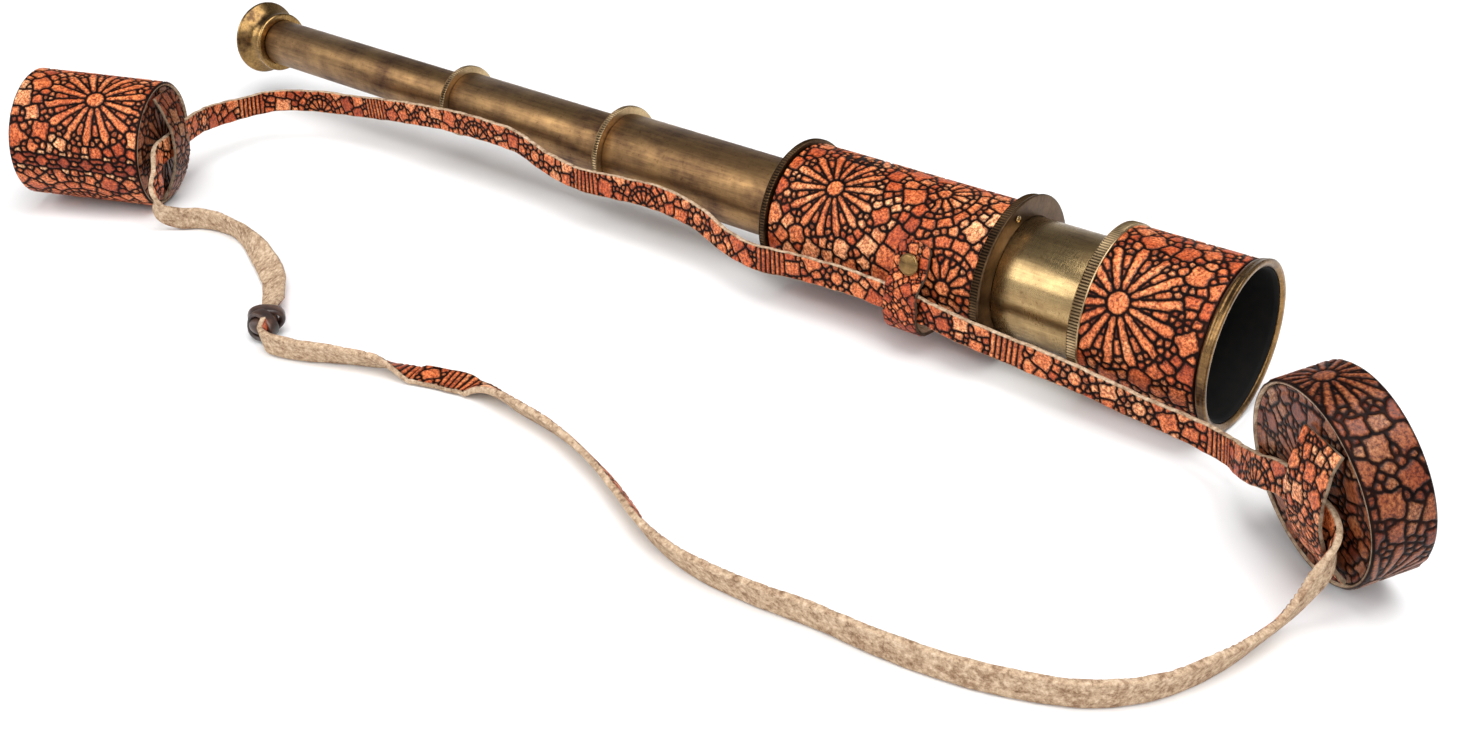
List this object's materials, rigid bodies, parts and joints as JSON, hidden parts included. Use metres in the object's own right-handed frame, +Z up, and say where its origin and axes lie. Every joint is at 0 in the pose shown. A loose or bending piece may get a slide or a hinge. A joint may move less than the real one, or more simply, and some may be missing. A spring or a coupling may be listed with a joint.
{
  "type": "hand telescope",
  "caption": "Brass draw telescope on its side, leather-wrapped barrel and sunshade, with leather caps on a strap.",
  "frame": {"origin": "on the table, under the middle of the box round the telescope and its two caps, the loose strap left out", "axes": "+X along the optical axis towards the objective, +Z up from the table, +Y away from the caps"},
  "size_m": [0.5258, 0.1876, 0.0571],
  "materials": {
    "polished_brass": "turned and handled, warm gold",
    "aged_brass": "brushed, brown patina",
    "embossed_leather": "embossed, dark in the grooves",
    "strap_suede": "flesh side, matt",
    "knot_leather": "dark burnished",
    "lens_glass": "clear polished"
  },
  "bodies": {
    "barrel": {"objective_tube": "polished_brass", "objective_stop_ring": "polished_brass", "objective_front_lens": "lens_glass", "objective_rear_lens": "lens_glass", "objective_seat_ring": "aged_brass", "barrel_front_flange": "polished_brass", "flange_screw": "polished_brass", "barrel_tube": "polished_brass", "barrel_leather_wrap": "embossed_leather", "barrel_rear_ring": "polished_brass", "strap_keeper": "embossed_leather", "keeper_stud": "polished_brass", "strap_far_run": "embossed_leather", "strap_near_run": "strap_suede", "strap_tail": "strap_suede", "strap_knot": "knot_leather"},
    "sunshade": {"sunshade_front_rim": "polished_brass", "sunshade_tube": "polished_brass", "sunshade_leather_wrap": "embossed_leather", "sunshade_rear_ring": "polished_brass"},
    "draw3": {"draw3_tube": "aged_brass", "draw3_stop_ring": "polished_brass", "draw3_collar": "polished_brass"},
    "draw2": {"draw2_tube": "aged_brass", "draw2_stop_ring": "polished_brass", "draw2_collar": "polished_brass"},
    "draw1": {"draw1_tube": "aged_brass", "draw1_stop_ring": "polished_brass", "erector_tube": "aged_brass", "erector_front_lens": "lens_glass", "erector_rear_lens": "lens_glass", "eyepiece_shoulder_ring": "polished_brass", "eyepiece_cup": "polished_brass", "eye_lens": "lens_glass", "field_lens": "lens_glass"},
    "objective_cap": {"objective_cap_wall": "embossed_leather", "objective_cap_disc": "embossed_leather", "objective_cap_band": "embossed_leather"},
    "eyepiece_cap": {"eyepiece_cap_wall": "embossed_leather", "eyepiece_cap_disc": "embossed_leather", "eyepiece_cap_band": "embossed_leather"}
  },
  "joints": [
    {"name": "draw3_slide", "type": "slide", "parent": "barrel", "child": "draw3", "axis": [1, 0, 0], "range_m": [0, 0.079]},
    {"name": "draw2_slide", "type": "slide", "parent": "draw3", "child": "draw2", "axis": [1, 0, 0], "range_m": [0, 0.08]},
    {"name": "draw1_slide", "type": "slide", "parent": "draw2", "child": "draw1", "axis": [1, 0, 0], "range_m": [0, 0.1]},
    {"name": "sunshade_slide", "type": "slide", "parent": "barrel", "child": "sunshade", "axis": [-1, 0, 0], "range_m": [0, 0.0275]},
    {"name": "objective_cap_slide", "type": "slide", "parent": "barrel", "child": "objective_cap", "axis": [0.812, -0.5837, 0], "range_m": [-0.004, 0]},
    {"name": "eyepiece_cap_slide", "type": "slide", "parent": "barrel", "child": "eyepiece_cap", "axis": [-0.53, 0.848, 0], "range_m": [-0.003, 0.003]}
  ]
}
